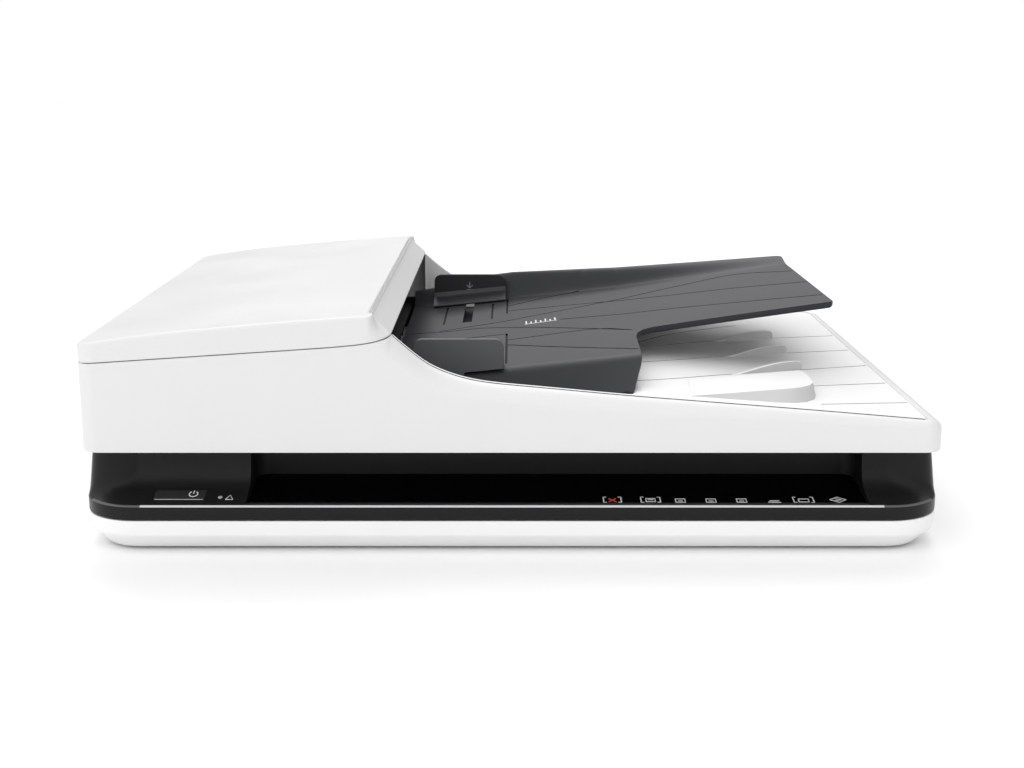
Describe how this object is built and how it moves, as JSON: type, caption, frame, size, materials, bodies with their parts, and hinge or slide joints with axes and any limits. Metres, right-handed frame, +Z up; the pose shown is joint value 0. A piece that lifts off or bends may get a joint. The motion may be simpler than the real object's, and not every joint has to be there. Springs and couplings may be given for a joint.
{
  "type": "document scanner",
  "caption": "Flatbed document scanner with a lifting lid that carries a sheet feeder, sloped input tray with paper guides and output tray.",
  "frame": {"origin": "under the middle of the whole object, on the surface that the feet stand on", "axes": "+X to the right seen from the control panel, +Y to the rear, +Z up"},
  "size_m": [0.451, 0.351, 0.125],
  "materials": {
    "white_case": "satin moulded",
    "black_case": "satin moulded",
    "gloss_black": "polished",
    "tray_grey": "semi-gloss moulded",
    "guide_black": "satin moulded",
    "guide_grey": "semi-gloss moulded",
    "inner_black": "moulded",
    "inner_grey": "moulded",
    "glass": "clear",
    "steel": "brushed",
    "rubber": "matte",
    "roller_rubber": "matte",
    "belt_rubber": "matte",
    "acetal": "moulded",
    "foam": "foam",
    "white_sheet": "film",
    "circuit_board": "solder mask",
    "light_pipe": "clear"
  },
  "bodies": {
    "base": {"base_bottom_shell": "white_case", "base_bezel": "black_case", "panel_overlay": "gloss_black", "status_light_pipe": "light_pipe", "panel_board": "circuit_board", "platen_glass": "glass", "feeder_glass": "glass", "calibration_strip": "white_sheet", "guide_rod": "steel", "carriage_belt": "belt_rubber", "carriage_motor": "steel", "idler_bracket": "steel", "main_board": "circuit_board", "usb_socket": "steel", "dc_inlet": "inner_black", "feet": "rubber", "case_screws": "steel"},
    "button": {"power_button": "gloss_black"},
    "carriage": {"scan_carriage": "inner_black", "image_sensor": "inner_grey", "sensor_lens": "glass"},
    "carriage_drive_pulley": {"drive_pulley": "acetal"},
    "carriage_idler_pulley": {"idler_pulley": "acetal"},
    "posts": {"hinge_posts": "black_case"},
    "lid": {"lid_shell": "white_case", "lid_foam": "foam", "backing_sheet": "white_sheet", "output_tray": "white_case", "hinge_brackets": "black_case", "hinge_pins": "steel", "feeder_chassis": "inner_black", "separation_bracket": "inner_black", "feeder_motor": "steel", "feeder_belt": "belt_rubber", "feeder_backing": "white_sheet", "flag_bracket": "inner_grey"},
    "drum": {"transport_drum": "roller_rubber", "drum_gear": "acetal", "drum_pulley": "acetal"},
    "pinion": {"motor_pinion": "acetal"},
    "exit_shaft": {"exit_roller": "roller_rubber", "exit_pulley": "acetal"},
    "exit_idler": {"exit_idlers": "inner_grey"},
    "separator": {"separation_roller": "roller_rubber"},
    "flag": {"sensor_flag": "inner_black"},
    "cover": {"feeder_cover": "white_case", "cover_guide": "inner_black"},
    "feed": {"feed_roller": "roller_rubber"},
    "arm": {"pick_arm": "inner_grey"},
    "pick": {"pick_roller": "roller_rubber"},
    "tray": {"input_tray": "tray_grey", "tray_pivot_pins": "steel", "rack_cover": "tray_grey"},
    "guide_front_slide": {"guide_front": "guide_grey", "rack_front": "guide_grey"},
    "guide_rear_slide": {"guide_rear": "guide_black", "rack_rear": "guide_black"},
    "guide_pinion": {"rack_pinion": "acetal"}
  },
  "joints": [
    {"name": "power_button_press", "type": "slide", "parent": "base", "child": "button", "axis": [0, 0, -1], "range_m": [0, 0.001], "stiffness_N_per_m": 400, "springref_m": -0.0005},
    {"name": "carriage_travel", "type": "slide", "parent": "base", "child": "carriage", "axis": [1, 0, 0], "range_m": [0, 0.358]},
    {"name": "drive_pulley_spin", "type": "hinge", "parent": "base", "child": "carriage_drive_pulley", "pos_m": [-0.2, 0.044, 0.014], "axis": [0, 0, 1], "range_deg": [0, 3424]},
    {"name": "idler_pulley_spin", "type": "hinge", "parent": "base", "child": "carriage_idler_pulley", "pos_m": [0.207, 0.044, 0.014], "axis": [0, 0, 1], "range_deg": [0, 3424]},
    {"name": "hinge_lift", "type": "slide", "parent": "base", "child": "posts", "axis": [0, 0, 1], "range_m": [0, 0.02]},
    {"name": "lid_hinge", "type": "hinge", "parent": "posts", "child": "lid", "pos_m": [0, 0.169, 0.06], "axis": [-1, 0, 0], "range_deg": [0, 80]},
    {"name": "cover_hinge", "type": "hinge", "parent": "lid", "child": "cover", "pos_m": [-0.2203, 0, 0.1002], "axis": [0, -1, 0], "range_deg": [0, 45]},
    {"name": "feed_roller_spin", "type": "hinge", "parent": "cover", "child": "feed", "pos_m": [-0.118, 0, 0.096], "axis": [0, 1, 0], "continuous": true},
    {"name": "pick_arm_lift", "type": "hinge", "parent": "cover", "child": "arm", "pos_m": [-0.118, 0, 0.096], "axis": [0, -1, 0], "range_deg": [0, 10]},
    {"name": "pick_roller_spin", "type": "hinge", "parent": "arm", "child": "pick", "pos_m": [-0.0925, 0, 0.091], "axis": [0, 1, 0], "continuous": true},
    {"name": "drum_spin", "type": "hinge", "parent": "lid", "child": "drum", "pos_m": [-0.178, 0, 0.078], "axis": [0, 1, 0], "continuous": true},
    {"name": "motor_pinion_spin", "type": "hinge", "parent": "lid", "child": "pinion", "pos_m": [-0.15811, 0.14, 0.08995], "axis": [0, 1, 0], "continuous": true},
    {"name": "exit_roller_spin", "type": "hinge", "parent": "lid", "child": "exit_shaft", "pos_m": [-0.09, 0, 0.0625], "axis": [0, 1, 0], "continuous": true},
    {"name": "exit_idler_spin", "type": "hinge", "parent": "lid", "child": "exit_idler", "pos_m": [-0.09, 0, 0.0727], "axis": [0, 1, 0], "continuous": true},
    {"name": "separation_roller_spin", "type": "hinge", "parent": "lid", "child": "separator", "pos_m": [-0.118, 0, 0.076], "axis": [0, 1, 0], "continuous": true},
    {"name": "paper_flag_swing", "type": "hinge", "parent": "lid", "child": "flag", "pos_m": [-0.08, 0, 0.0735], "axis": [0, -1, 0], "range_deg": [0, 20], "stiffness_Nm_per_rad": 0.002, "springref_deg": -11.46},
    {"name": "input_tray_hinge", "type": "hinge", "parent": "lid", "child": "tray", "pos_m": [-0.06, 0, 0.0765], "axis": [0, -1, 0], "range_deg": [0, 30]},
    {"name": "guide_front_travel", "type": "slide", "parent": "tray", "child": "guide_front_slide", "axis": [0, 1, 0], "range_m": [0, 0.065]},
    {"name": "guide_rear_travel", "type": "slide", "parent": "tray", "child": "guide_rear_slide", "axis": [0, 1, 0], "range_m": [-0.065, 0]},
    {"name": "guide_pinion_spin", "type": "hinge", "parent": "tray", "child": "guide_pinion", "pos_m": [-0.029, 0, 0.075], "axis": [0, 0, 1], "range_deg": [0, 471]}
  ],
  "couplings": [
    {"joint": "drive_pulley_spin", "follows": "carriage_travel", "rad_per_m": 166.67},
    {"joint": "idler_pulley_spin", "follows": "carriage_travel", "rad_per_m": 166.67},
    {"joint": "motor_pinion_spin", "follows": "drum_spin", "ratio": -3.8333},
    {"joint": "exit_roller_spin", "follows": "drum_spin", "ratio": 1.2222},
    {"joint": "pick_roller_spin", "follows": "feed_roller_spin", "ratio": 1.25},
    {"joint": "guide_rear_travel", "follows": "guide_front_travel", "ratio": -1},
    {"joint": "guide_pinion_spin", "follows": "guide_front_travel", "rad_per_m": 125}
  ]
}
